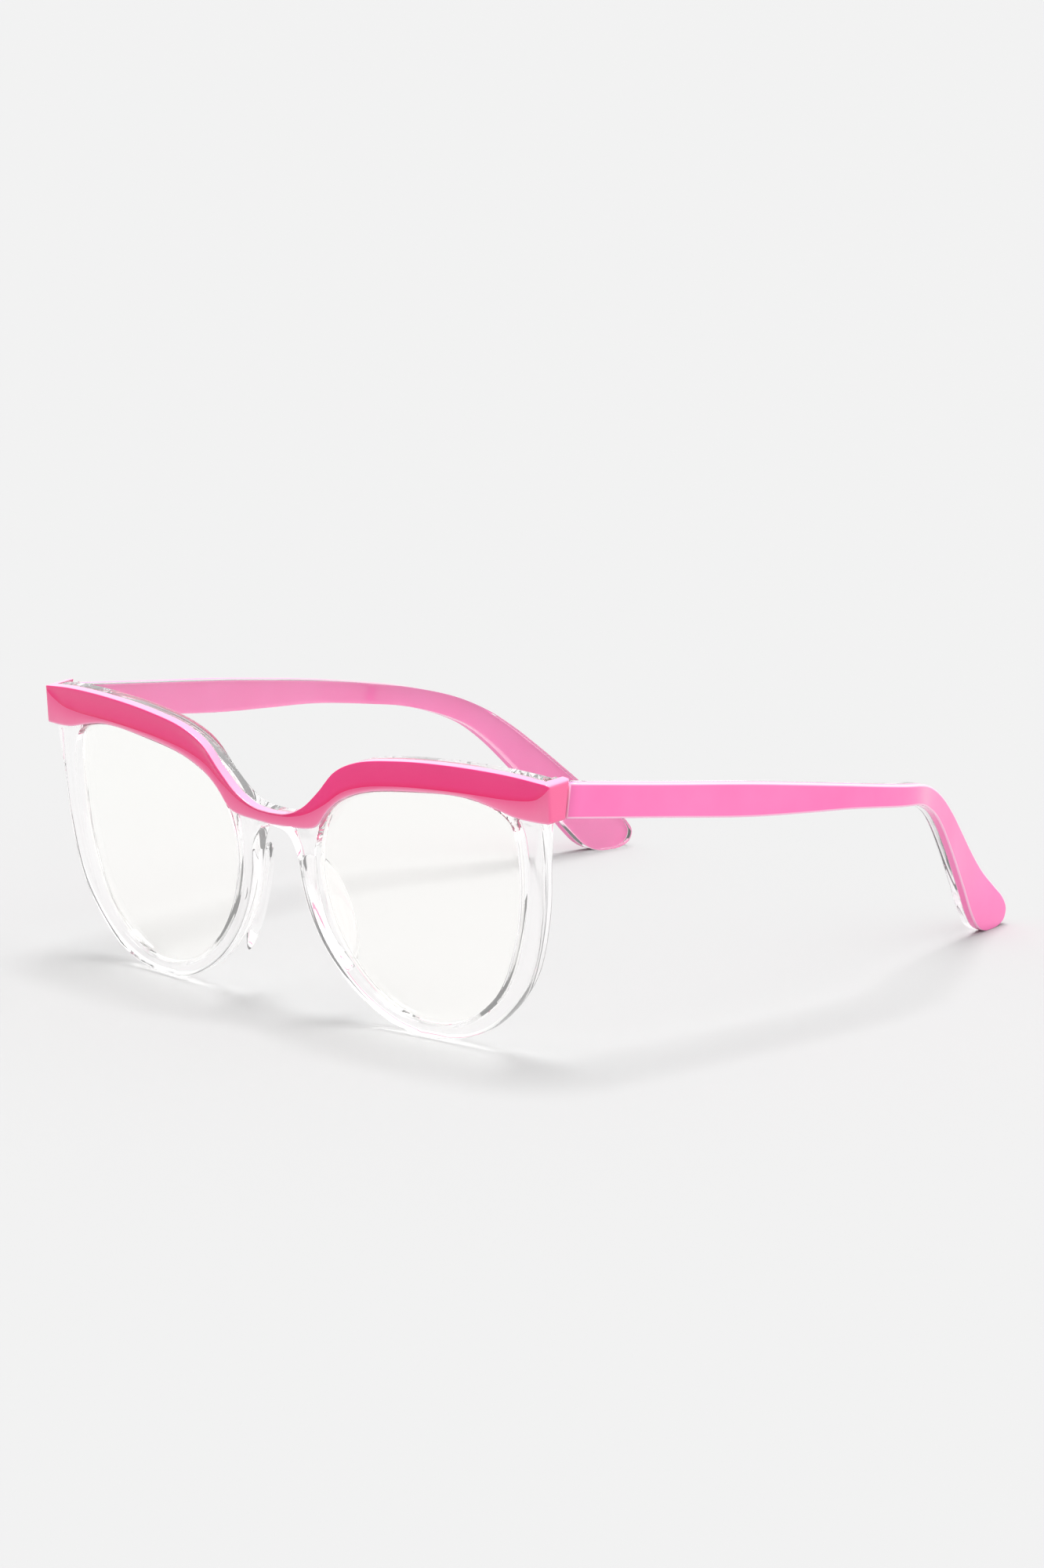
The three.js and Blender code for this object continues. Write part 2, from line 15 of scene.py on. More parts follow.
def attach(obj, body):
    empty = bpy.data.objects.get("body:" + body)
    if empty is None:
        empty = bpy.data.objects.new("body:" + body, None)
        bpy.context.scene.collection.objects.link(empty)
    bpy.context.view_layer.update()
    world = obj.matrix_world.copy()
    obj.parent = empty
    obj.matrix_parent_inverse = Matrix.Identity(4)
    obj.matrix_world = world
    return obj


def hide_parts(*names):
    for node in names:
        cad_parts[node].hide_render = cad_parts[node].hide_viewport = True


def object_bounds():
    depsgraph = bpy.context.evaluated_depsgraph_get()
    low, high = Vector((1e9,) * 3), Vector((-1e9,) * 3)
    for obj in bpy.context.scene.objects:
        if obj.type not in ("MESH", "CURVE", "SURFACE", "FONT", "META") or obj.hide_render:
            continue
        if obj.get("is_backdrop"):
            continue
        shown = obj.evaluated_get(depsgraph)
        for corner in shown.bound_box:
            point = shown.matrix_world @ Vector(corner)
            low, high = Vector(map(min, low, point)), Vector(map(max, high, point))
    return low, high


MM = 0.001

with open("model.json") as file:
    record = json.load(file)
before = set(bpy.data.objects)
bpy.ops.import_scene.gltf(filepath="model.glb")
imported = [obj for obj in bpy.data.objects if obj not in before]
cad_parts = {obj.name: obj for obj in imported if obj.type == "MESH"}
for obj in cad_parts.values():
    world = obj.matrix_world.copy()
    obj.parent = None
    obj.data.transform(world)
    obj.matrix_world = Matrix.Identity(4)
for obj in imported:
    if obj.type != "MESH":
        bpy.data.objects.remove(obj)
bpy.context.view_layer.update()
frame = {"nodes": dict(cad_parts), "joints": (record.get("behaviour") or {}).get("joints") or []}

# ---- Where the pieces meet ----
# Both temples swing on upright pins. The bridge's front face is the point that the frame is drawn
# from, and it lies straight between the pins, in front of them and below.

PIN_FROM_BRIDGE = (63.9, 7.8, 49.9)
pin = next(Vector(j["pos_m"]) for j in frame["joints"] if j["child"] == "temple_left")
bridge = pin - Vector(PIN_FROM_BRIDGE) * MM


def place(x, y, z):
    """A point given from the bridge's front face, in the frame's metres."""
    return bridge + Vector((x, y, z)) * MM


# ---- Camera ----
# A long lens in front of the glasses and round to their left side, a little above the brow. It is
# aimed just inside the left hinge.

LOOK_AT = place(51.144, 13.517, 49.431)
CAMERA_AZIMUTH = math.radians(44.2046)
CAMERA_ELEVATION = math.radians(11.9477)
CAMERA_DISTANCE = 1.2
SENSOR_WIDTH = 36
FOCAL_LENGTH = 147.45

camera_data = bpy.data.cameras.new("camera")
camera_data.sensor_width = SENSOR_WIDTH
camera_data.lens = FOCAL_LENGTH
camera_data.clip_start = 0.05
camera_data.clip_end = 60
camera = bpy.data.objects.new("camera", camera_data)
bpy.context.scene.collection.objects.link(camera)
backwards = Vector((
    math.sin(CAMERA_AZIMUTH) * math.cos(CAMERA_ELEVATION),
    -math.cos(CAMERA_AZIMUTH) * math.cos(CAMERA_ELEVATION),
    math.sin(CAMERA_ELEVATION),
))
camera.location = LOOK_AT + backwards * CAMERA_DISTANCE
camera.rotation_mode = "QUATERNION"
camera.rotation_quaternion = (-backwards).to_track_quat("-Z", "Y")
bpy.context.scene.camera = camera
bpy.context.scene.view_settings.view_transform = "Standard"

# ---- Studio ----
# A sheet of pale card with no visible edge, in a soft white room. The ceiling glows, the walls
# behind the glasses and on their left are a little brighter than the others, and a broad soft box
# almost straight above throws the shadows.

FLOOR_SIZE = 24.0
FLOOR_TONE = (0.425, 0.425, 0.425)

floor_mesh = bpy.data.meshes.new("floor")
bm = bmesh.new()
bmesh.ops.create_grid(bm, x_segments=1, y_segments=1, size=FLOOR_SIZE / 2)
bm.to_mesh(floor_mesh)
bm.free()
floor = bpy.data.objects.new("floor", floor_mesh)
bpy.context.scene.collection.objects.link(floor)
floor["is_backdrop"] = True

card = bpy.data.materials.new("pale_card")
card.use_nodes = True
card_shader = card.node_tree.nodes["Principled BSDF"]
card_shader.inputs["Base Color"].default_value = (*FLOOR_TONE, 1)
card_shader.inputs["Roughness"].default_value = 1.0
card_shader.inputs["Specular IOR Level"].default_value = 0.0
floor_mesh.materials.append(card)

room = bpy.data.worlds.new("soft_room")
room.use_nodes = True
bpy.context.scene.world = room
nodes, links = room.node_tree.nodes, room.node_tree.links
direction = nodes.new("ShaderNodeTexCoord")
parts = nodes.new("ShaderNodeSeparateXYZ")
links.new(direction.outputs["Generated"], parts.inputs[0])


def glow(axis, start, full, strength):
    """Light that grows from start to full along one axis of the room."""
    ramp = nodes.new("ShaderNodeMapRange")
    ramp.interpolation_type = "SMOOTHSTEP"
    for name, value in (("From Min", start), ("From Max", full), ("To Min", 0), ("To Max", strength)):
        ramp.inputs[name].default_value = value
    links.new(parts.outputs[axis], ramp.inputs["Value"])
    return ramp.outputs["Result"]


def brighter(light, extra):
    """Two lights together, each of them a plain strength or a node's output."""
    total = nodes.new("ShaderNodeMath")
    total.operation = "ADD"
    for socket, value in zip(total.inputs, (light, extra)):
        if isinstance(value, float):
            socket.default_value = value
        else:
            links.new(value, socket)
    return total.outputs[0]


ROOM_LIGHT = 0.76
light = brighter(ROOM_LIGHT, glow("Z", start=0.70, full=0.92, strength=0.9))
light = brighter(light, glow("X", start=0.05, full=0.9, strength=0.5))
light = brighter(light, glow("Y", start=0.1, full=0.9, strength=0.4))
links.new(light, nodes["Background"].inputs["Strength"])
nodes["Background"].inputs["Color"].default_value = (1, 1, 1, 1)

LAMP_FROM = Vector((-0.17, 0.18, 1.0))
LAMP_STRENGTH = 2.7
LAMP_SPREAD = math.radians(26)
lamp_data = bpy.data.lights.new("overhead_softbox", "SUN")
lamp_data.energy = LAMP_STRENGTH
lamp_data.angle = LAMP_SPREAD
lamp = bpy.data.objects.new("overhead_softbox", lamp_data)
bpy.context.scene.collection.objects.link(lamp)
lamp.rotation_mode = "QUATERNION"
lamp.rotation_quaternion = LAMP_FROM.to_track_quat("Z", "Y")

# ---- Pink brow bar ----
# A bar of candy-pink acetate sheet, laminated on the brow of the clear front and milled with a
# scooped face: a long crease runs under the scoop and rises to the top edge at each end-piece,
# where the bar wraps the side back to the temple joint. All its edges are buffed round.

FACE_RADIUS = 402.5
FRONT_LEAN = math.radians(4.65)
BROW_DEPTH = 2.0
END_HALF_WIDTH = 69.4
END_WRAP = 2.0
END_TOP = 53.2
END_BOTTOM = 45.7
JOINT_HEIGHT = 49.9
JOINT_DEPTH = 7.15
JOINT_HALF_HEIGHT = 3.38
JOINT_GAP = 0.3
TEMPLE_SLOPE = math.radians(7.8)

BROW_TOP = [
    (0, 39.0), (4.5, 39.4), (9.0, 41.3), (13.5, 45.0), (18.2, 49.6), (24.0, 52.2), (34.0, 53.8),
    (47.0, 54.5), (60.0, 54.2), (END_HALF_WIDTH, END_TOP),
]
BROW_CREASE = [
    (0, 38.5), (5.0, 38.8), (9.5, 40.0), (14.3, 42.5), (18.5, 45.3), (24.0, 47.2), (34.0, 48.6),
    (48.0, 49.2), (61.0, 49.2), (65.5, 49.9), (68.0, 51.4), (END_HALF_WIDTH, 52.7),
]
BROW_BOTTOM = [
    (0, 36.5), (5.0, 36.7), (9.3, 37.0), (12.0, 37.8), (15.2, 41.3), (19.0, 44.1), (26.0, 46.6),
    (37.0, 48.1), (50.0, 48.5), (56.5, 47.3), (61.0, 46.2), (65.0, 45.8), (END_HALF_WIDTH, END_BOTTOM),
]
CREASE_DEPTH = [(0, 0.35), (10, 0.7), (18, 1.1), (60, 1.2), (66, 0.9), (END_HALF_WIDTH, 0.0)]
BOTTOM_DEPTH = [(0, 0.4), (20, 0.6), (52, 0.6), (62, 0.1), (END_HALF_WIDTH, 0.0)]


def on_line(p, q, at_p, at_q, at):
    """The point at a given place of the straight line that passes p and q at their own places."""
    return p.lerp(q, (at - at_p) / (at_q - at_p))


def curve_through(knots, per_span, closed=False):
    """Points along a smooth curve through the knots, spaced by the root of their distances."""
    knots = [Vector(k) for k in knots]
    count = len(knots)
    if closed:
        ring = [knots[-1], *knots, knots[0], knots[1]]
    else:
        ring = [2 * knots[0] - knots[1], *knots, 2 * knots[-1] - knots[-2]]
    points = []
    for i in range(count if closed else count - 1):
        p = ring[i : i + 4]
        at = [0.0]
        for a, b in zip(p, p[1:]):
            at.append(at[-1] + (b - a).length ** 0.5)
        for k in range(per_span):
            t = at[1] + (at[2] - at[1]) * k / per_span
            first, middle, last = (on_line(p[j], p[j + 1], at[j], at[j + 1], t) for j in range(3))
            early = on_line(first, middle, at[0], at[2], t)
            late = on_line(middle, last, at[1], at[3], t)
            points.append(on_line(early, late, at[1], at[2], t))
    return points if closed else [*points, knots[-1]]


def height_along(knots, per_span=12):
    """A curve whose first coordinate only grows, read as a function of it. It is smooth, or made of
    straight lines where each span has one point."""
    points = curve_through(knots, per_span) if per_span > 1 else [Vector(k) for k in knots]
    across = [p.x for p in points]

    def read(at):
        i = min(max(bisect.bisect_right(across, at), 1), len(points) - 1)
        a, b = points[i - 1], points[i]
        share = min(max((at - a.x) / (b.x - a.x), 0.0), 1.0)
        return a.y + (b.y - a.y) * share

    return read


brow_top = height_along(BROW_TOP)
brow_crease = height_along(BROW_CREASE)
brow_bottom = height_along(BROW_BOTTOM)
crease_depth = height_along(CREASE_DEPTH, 1)
bottom_depth = height_along(BOTTOM_DEPTH, 1)


def on_front(u, v, w):
    """The front is drawn flat, u across, v up and w back. It is bent round the face and leaned."""
    depth = u * u / (2 * FACE_RADIUS) + w
    lean_cos, lean_sin = math.cos(FRONT_LEAN), math.sin(FRONT_LEAN)
    return place(u, depth * lean_cos - v * lean_sin, v * lean_cos + depth * lean_sin)


def joint_depth(u, v):
    """How far back the butt face of an end-piece stands, in the front's own frame."""
    fall = FRONT_LEAN + TEMPLE_SLOPE
    reach = JOINT_DEPTH * math.cos(TEMPLE_SLOPE) - JOINT_HEIGHT * math.sin(TEMPLE_SLOPE)
    return (reach - JOINT_GAP / 2 + v * math.sin(fall)) / math.cos(fall) - u * u / (2 * FACE_RADIUS)


# A round takes at most ROUND_LIMIT of each side beside it, and the point that keeps the flat flat
# stands SUPPORT past the round and at most at FLAT_LIMIT of the side.
SUPPORT = 0.3
ROUND_LIMIT = 0.4
FLAT_LIMIT = 0.48


def rounded(corners, radii, steps=4):
    """A closed section with its corners buffed round, and one more point beside each round."""
    section = []
    neighbours = zip(corners[-1:] + corners[:-1], corners, corners[1:] + corners[:1], radii)
    for before, here, after, radius in neighbours:
        ends = []
        for other in (before, after):
            run = other - here
            start = min(radius, ROUND_LIMIT * run.length)
            stop = min(start + SUPPORT, FLAT_LIMIT * run.length)
            ends.append((here + run.normalized() * start, here + run.normalized() * stop))
        (arc_start, flat_before), (arc_end, flat_after) = ends
        section.append(flat_before)
        for k in range(steps + 1):
            share = k / steps
            section.append(arc_start.lerp(here, share).lerp(here.lerp(arc_end, share), share))
        section.append(flat_after)
    return section


def sweep(bm, sections):
    """Joins sections of equal length into a closed bar with flat ends. Each point keeps its number
    in the section."""
    number = bm.verts.layers.int.new("number")
    verts = []
    for i, point in enumerate(sections[0]):
        vert = bm.verts.new(point)
        vert[number] = i
        verts.append(vert)
    ring = [bm.edges.new(pair) for pair in zip(verts, verts[1:] + verts[:1])]
    caps = [ring]
    for section in sections[1:]:
        made = bmesh.ops.extrude_edge_only(bm, edges=ring)["geom"]
        for vert in (g for g in made if isinstance(g, bmesh.types.BMVert)):
            vert.co = section[vert[number]]
        ring = [g for g in made if isinstance(g, bmesh.types.BMEdge)]
    caps.append(ring)
    for cap in caps:
        bmesh.ops.edgeloop_fill(bm, edges=cap)


def finish_piece(bm, name, material, body, stands_for):
    """The bench work that every piece shares: faces out, smooth shading, material and body."""
    bmesh.ops.remove_doubles(bm, verts=bm.verts, dist=1e-7)
    bmesh.ops.recalc_face_normals(bm, faces=bm.faces)
    for face in bm.faces:
        face.smooth = True
    mesh = bpy.data.meshes.new(name)
    bm.to_mesh(mesh)
    bm.free()
    mesh.materials.append(material)
    piece = bpy.data.objects.new(name, mesh)
    bpy.context.scene.collection.objects.link(piece)
    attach(piece, body)
    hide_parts(stands_for)


# Buffed acetate: soft clouds of pigment in the sheet, a roughness that drifts with the buffing
# wheel, and very shallow ripples that bend reflections.
CLOUD_SIZE = 14
DRIFT_SIZE = 4
RIPPLE_SIZE = 3
RIPPLE_DEPTH = 0.02
ACETATE_INDEX = 1.48

buffing = bpy.data.node_groups.new("buffed_acetate", "ShaderNodeTree")
sheet_inputs = (("Tone", "Color"), ("Deep Tone", "Color"), ("Gloss", "Float"), ("Ripple", "Float"))
surface_outputs = (("Color", "Color"), ("Roughness", "Float"), ("Normal", "Vector"))
for socket_name, kind in sheet_inputs:
    buffing.interface.new_socket(socket_name, in_out="INPUT", socket_type=f"NodeSocket{kind}")
for socket_name, kind in surface_outputs:
    buffing.interface.new_socket(socket_name, in_out="OUTPUT", socket_type=f"NodeSocket{kind}")
group = buffing.nodes
entry, out = group.new("NodeGroupInput"), group.new("NodeGroupOutput")
where = group.new("ShaderNodeTexCoord")


def noise_of(size, detail):
    """Noise with patches about that many millimetres across."""
    texture = group.new("ShaderNodeTexNoise")
    texture.inputs["Scale"].default_value = 1 / (size * MM)
    texture.inputs["Detail"].default_value = detail
    buffing.links.new(where.outputs["Object"], texture.inputs["Vector"])
    return texture.outputs["Fac"]


clouds = group.new("ShaderNodeMix")
clouds.data_type = "RGBA"
buffing.links.new(noise_of(CLOUD_SIZE, detail=3), clouds.inputs["Factor"])
buffing.links.new(entry.outputs["Tone"], clouds.inputs["A"])
buffing.links.new(entry.outputs["Deep Tone"], clouds.inputs["B"])
buffing.links.new(clouds.outputs["Result"], out.inputs["Color"])
drift = group.new("ShaderNodeMath")
drift.operation = "MULTIPLY"
buffing.links.new(noise_of(DRIFT_SIZE, detail=4), drift.inputs[0])
buffing.links.new(entry.outputs["Gloss"], drift.inputs[1])
buffing.links.new(drift.outputs[0], out.inputs["Roughness"])
ripples = group.new("ShaderNodeBump")
ripples.inputs["Distance"].default_value = RIPPLE_DEPTH * MM
buffing.links.new(entry.outputs["Ripple"], ripples.inputs["Strength"])
buffing.links.new(noise_of(RIPPLE_SIZE, detail=1), ripples.inputs["Height"])
buffing.links.new(ripples.outputs["Normal"], out.inputs["Normal"])


def acetate(name, tone, deep_tone, gloss, ripple):
    """A Principled material whose colour, roughness and normal come from the buffed sheet."""
    material = bpy.data.materials.new(name)
    material.use_nodes = True
    tree = material.node_tree
    sheet = tree.nodes.new("ShaderNodeGroup")
    sheet.node_tree = buffing
    sheet.inputs["Tone"].default_value = (*tone, 1)
    sheet.inputs["Deep Tone"].default_value = (*deep_tone, 1)
    sheet.inputs["Gloss"].default_value = gloss
    sheet.inputs["Ripple"].default_value = ripple
    shader = tree.nodes["Principled BSDF"]
    shader.inputs["IOR"].default_value = ACETATE_INDEX
    tree.links.new(sheet.outputs["Color"], shader.inputs["Base Color"])
    tree.links.new(sheet.outputs["Roughness"], shader.inputs["Roughness"])
    tree.links.new(sheet.outputs["Normal"], shader.inputs["Normal"])
    return material


def add_painted_shade_and_highlight(material, crease_tone, edge_tone):
    """Painted shade deepens the colour in a crease and a painted highlight pales it on edges. Each
    point of a piece carries how much it gets there, from -1 on an edge to 1 in a crease."""
    tree = material.node_tree
    base = tree.nodes["Principled BSDF"].inputs["Base Color"]
    painted_light = tree.nodes.new("ShaderNodeAttribute")
    painted_light.attribute_name = "painted_light"
    colour = base.links[0].from_socket
    for full, tone in ((1, crease_tone), (-1, edge_tone)):
        amount = tree.nodes.new("ShaderNodeMapRange")
        amount.inputs["From Max"].default_value = full
        tree.links.new(painted_light.outputs["Fac"], amount.inputs["Value"])
        blend = tree.nodes.new("ShaderNodeMix")
        blend.data_type = "RGBA"
        tree.links.new(amount.outputs["Result"], blend.inputs["Factor"])
        tree.links.new(colour, blend.inputs["A"])
        blend.inputs["B"].default_value = (*tone, 1)
        colour = blend.outputs["Result"]
    tree.links.new(colour, base)
    return material


PINK = (0.92, 0.04, 0.235)
PINK_CLOUD = (0.88, 0.032, 0.215)
# The deep tone is painted shade for the scoop and its crease, the pale tone a painted highlight for
# edges, tops and lit sides.
PAINTED_SCOOP_SHADE_TONE = (0.88, 0.008, 0.15)
PAINTED_HIGHLIGHT_TONE = (0.97, 0.6, 0.77)

pink = add_painted_shade_and_highlight(
    acetate("pink_acetate", PINK, PINK_CLOUD, gloss=0.16, ripple=0.25), PAINTED_SCOOP_SHADE_TONE, PAINTED_HIGHLIGHT_TONE
)

SCOOP = 0.14
SCOOP_SHARES = (0.2, 0.4, 0.6, 0.75, 0.84, 0.92)
SCOOP_LEAST = 0.3
EDGE_ROUNDS = (0.3, 0.08, 0.14, 0.05, 0.08)


def brow_section(reach, side, taken_off):
    """The bar's section at one place: top edge, scooped face, crease, lower edge and back. The
    buffing takes some off all round near the outer side."""
    top, bottom = brow_top(reach) - taken_off, brow_bottom(reach) + taken_off
    crease = min(brow_crease(reach), top - SCOOP_LEAST)
    u = side * reach
    wraps = reach > END_HALF_WIDTH - END_WRAP
    back_top = joint_depth(u, top) - taken_off if wraps else BROW_DEPTH
    back_bottom = joint_depth(u, bottom) - taken_off if wraps else BROW_DEPTH
    in_crease = crease_depth(reach)
    corners = [
        Vector((u, top, taken_off)),
        Vector((u, crease, in_crease + taken_off)),
        Vector((u, bottom, bottom_depth(reach) + taken_off)),
        Vector((u, bottom, back_bottom)),
        Vector((u, top, back_top)),
    ]
    section = rounded(corners, EDGE_ROUNDS)
    face_start = len(section) // len(corners) - 1
    scoop = []
    for share in SCOOP_SHARES:
        point = section[face_start].lerp(section[face_start + 1], share)
        point.z += SCOOP * in_crease * 4 * share * (1 - share)
        scoop.append(point)
    return section[: face_start + 1] + scoop + section[face_start + 1 :]


# Each station is a distance from the middle and what is taken off there: SHY everywhere, and more
# round the side. Two stations stand close together where the bar starts to wrap.
SHY = 0.02
STATION_STEP = 1.1
STATION_COUNT = 61
LAST_STATION = 68.2
WRAP_STEP = 0.04
SIDE_ROUND = 0.6
SIDE_STEPS = 4

wrap_start = END_HALF_WIDTH - END_WRAP
stations = [(STATION_STEP * i, SHY) for i in range(STATION_COUNT)]
stations += [(wrap_start - WRAP_STEP, SHY), (wrap_start + WRAP_STEP, SHY), (LAST_STATION, SHY)]
for step in range(SIDE_STEPS + 1):
    turn = step / SIDE_STEPS * math.pi / 2
    stations.append((
        END_HALF_WIDTH - SHY - SIDE_ROUND * (1 - math.sin(turn)),
        SHY + SIDE_ROUND * (1 - math.cos(turn)),
    ))
stations.append((END_HALF_WIDTH - SHY, SIDE_ROUND + SUPPORT))

# The painted shade (above zero) and painted highlight (below zero) on the bar in each place, and
# how wide the bands are that share a value.
SCOOP_PAINTED_SHADE = 0.3
STRIP_PAINTED_LIGHT = -0.17
EDGE_PAINTED_HIGHLIGHT = -0.6
SIDE_PAINTED_LIGHT = -0.2
BACK_PAINTED_LIGHT = -0.15
TOP_PAINTED_HIGHLIGHT = -0.5
SIDE_BAND = 0.15
TOP_BAND = 0.25
FACE_BAND = 0.12
BACK_BAND = 0.25
CREASE_BAND = 0.9
CREASE_SLACK = 0.05
SCOOP_HEIGHT_LEAST = 0.5
EDGE_HEIGHT = 0.6

bm = bmesh.new()
sections = [brow_section(reach, -1, taken) for reach, taken in reversed(stations)]
sections += [brow_section(reach, 1, taken) for reach, taken in stations[1:]]
sweep(bm, sections)
painted_light = bm.verts.layers.float.new("painted_light")
# Painted highlight on the lit outer sides, the tops, the back, the lower strip and its edge; painted
# shade deepening down the scoop into its crease.
for vert in bm.verts:
    u, v, w = vert.co
    reach = abs(u)
    top, crease, bottom = brow_top(reach), brow_crease(reach), brow_bottom(reach)
    if reach > END_HALF_WIDTH - SIDE_BAND:
        vert[painted_light] = SIDE_PAINTED_LIGHT
    elif v > top - TOP_BAND and w > FACE_BAND:
        vert[painted_light] = TOP_PAINTED_HIGHLIGHT
    elif w > crease_depth(reach) + BACK_BAND:
        vert[painted_light] = BACK_PAINTED_LIGHT
    elif v >= crease - CREASE_SLACK:
        down_scoop = min(max((top - v) / max(top - crease, SCOOP_HEIGHT_LEAST), 0), 1)
        band = max(1 - (v - crease) / CREASE_BAND, 0) * min(crease_depth(reach), 1)
        vert[painted_light] = SCOOP_PAINTED_SHADE * down_scoop + (1 - SCOOP_PAINTED_SHADE) * min(band, 1)
    else:
        vert[painted_light] = STRIP_PAINTED_LIGHT + EDGE_PAINTED_HIGHLIGHT * max(1 - (v - bottom) / EDGE_HEIGHT, 0)
for vert in bm.verts:
    vert.co = on_front(*vert.co)
finish_piece(bm, "brow_bar_pink", pink, "front", "brow_bar")

# ---- Clear front ----
# One plate of crystal acetate: it backs the pink bar and makes both rims and the bridge. The rims
# stand a little behind the pink face, their edges are buffed to a soft round, and a V groove runs
# round each opening for the lens.

FRONT_DEPTH = 4.5
RIM_SETBACK = 0.7
OPENING = [
    (11.0, 31.5), (14.3, 40.3), (22.5, 45.4), (36.0, 47.8), (51.0, 48.2), (59.3, 45.0), (60.9, 37.0),
    (59.2, 22.5), (53.8, 10.4), (43.0, 3.3), (31.0, 3.1), (20.5, 8.9), (13.2, 18.8),
]
FOOT = [(39.8, -0.2), (33.4, -0.2)]
RIM_OUTSIDE = [
    (66.6, 45.9), (66.2, 38.0), (65.1, 26.0), (61.3, 13.8), (53.0, 4.5), (45.7, 0.9), FOOT[0],
]
RIM_NASAL = [
    FOOT[1], (27.5, 1.2), (18.9, 5.9), (12.3, 12.4), (8.4, 19.0), (6.3, 26.0), (5.6, 32.0),
    (3.6, 35.3), (0, 36.1),
]
LENS_MIDDLE = 3.15
GROOVE_HALF = 0.85
GROOVE_REACH = 0.8
CLEAR_INDEX = 1.4


def clear_acetate(name, tone, deep_tone, gloss, ripple, painted_glow, shade):
    """Clear sheet: light passes through to what is behind it, a faint painted glow all over stands in
    for room light in its milled edges, and its shadow keeps only a share of the light."""
    material = acetate(name, tone, deep_tone, gloss, ripple)
    tree = material.node_tree
    shader = tree.nodes["Principled BSDF"]
    shader.inputs["Transmission Weight"].default_value = 1.0
    shader.inputs["IOR"].default_value = CLEAR_INDEX
    # The white emission is a painted glow, standing in for room light.
    shader.inputs["Emission Color"].default_value = (1, 1, 1, 1)
    shader.inputs["Emission Strength"].default_value = painted_glow
    see_through = tree.nodes.new("ShaderNodeBsdfTransparent")
    see_through.inputs["Color"].default_value = (shade, shade, shade, 1)
    path = tree.nodes.new("ShaderNodeLightPath")
    choose = tree.nodes.new("ShaderNodeMixShader")
    tree.links.new(path.outputs["Is Shadow Ray"], choose.inputs["Fac"])
    tree.links.new(shader.outputs["BSDF"], choose.inputs[1])
    tree.links.new(see_through.outputs["BSDF"], choose.inputs[2])
    tree.links.new(choose.outputs["Shader"], tree.nodes["Material Output"].inputs["Surface"])
    return material


# The crystal carries a faint painted glow.
crystal = clear_acetate(
    "crystal_acetate", (0.99, 0.985, 0.985), (0.98, 0.97, 0.97),
    gloss=0.04, ripple=0.15, painted_glow=0.03, shade=0.55,
)


def spaced(points, step, closed):
    """The same line with points one step apart."""
    line = [*points, points[0]] if closed else points
    lengths = [0.0]
    for a, b in zip(line, line[1:]):
        lengths.append(lengths[-1] + (b - a).length)
    count = max(2, round(lengths[-1] / step))
    found = []
    for k in range(count if closed else count + 1):
        at = min(lengths[-1] * k / count, lengths[-1] - 1e-6)
        i = bisect.bisect_right(lengths, at) - 1
        found.append(line[i].lerp(line[i + 1], (at - lengths[i]) / (lengths[i + 1] - lengths[i])))
    return found


def mirror_line(points):
    """The same line on the other side of the bridge, run the same way round."""
    return [Vector((-p.x, p.y)) for p in reversed(points)]


# The plate's outline: under the bar's top edge, down inside its wrap, round the outer side of the
# rim and back along its nasal side to the middle of the bridge.
UNDER_TOP = 0.05
INSIDE_WRAP = 0.03
END_UNDER_TOP = 0.4
END_OVER_BOTTOM = 0.6
BROW_SPACING = 1.2
RIM_SPACING = 1.0
OPENING_SPACING = 0.9
LEAST_SPACING = 0.2

inset_end = END_HALF_WIDTH - END_WRAP - INSIDE_WRAP
top_half = [p - Vector((0, UNDER_TOP)) for p in curve_through(BROW_TOP, 8) if p.x < inset_end]
top_half.append(Vector((inset_end, END_TOP + UNDER_TOP)))
end_line = [
    Vector((inset_end, END_TOP - END_UNDER_TOP)), Vector((inset_end, END_BOTTOM + END_OVER_BOTTOM)),
]
line = [
    *spaced(top_half, BROW_SPACING, closed=False),
    *spaced(end_line, BROW_SPACING, closed=False),
    *spaced(curve_through(RIM_OUTSIDE, 8), RIM_SPACING, closed=False),
    *spaced(curve_through(RIM_NASAL, 8), RIM_SPACING, closed=False),
]
half_outline = line[:1] + [p for a, p in zip(line, line[1:]) if (p - a).length > LEAST_SPACING]
outline = half_outline + mirror_line(half_outline)[1:-1]
outline.reverse()
opening_left = spaced(curve_through(OPENING, 8, closed=True), OPENING_SPACING, closed=True)
opening_left.reverse()

RIM_ROUND = 1.3
OPENING_ROUND = 0.55
TIGHT_ROUND = 0.2
ROUND_GROWS_OVER = 9


def run_area(points):
    """The area inside a closed line, below zero where the line runs clockwise."""
    return sum(a.x * b.y - b.x * a.y for a, b in zip(points, points[1:] + points[:1])) / 2


def buffed_radius(u, v, widest):
    """The edges are buffed round on the rims and left tight where the pink bar covers them."""
    below = brow_bottom(abs(u)) - v
    return TIGHT_ROUND + (widest - TIGHT_ROUND) * min(max(below / ROUND_GROWS_OVER, 0.0), 1.0)


def fillet(face, towards, segments=5):
    """Steps round an edge from a face into the wall. Each is a share of the edge's own radius and a
    length to step in by, and a depth and a share of the radius to step back by."""
    steps = [(1, SUPPORT, face, 0)]
    for k in range(segments + 1):
        turn = k / segments * math.pi / 2
        steps.append((1 - math.sin(turn), 0, face, towards * (1 - math.cos(turn))))
    return steps


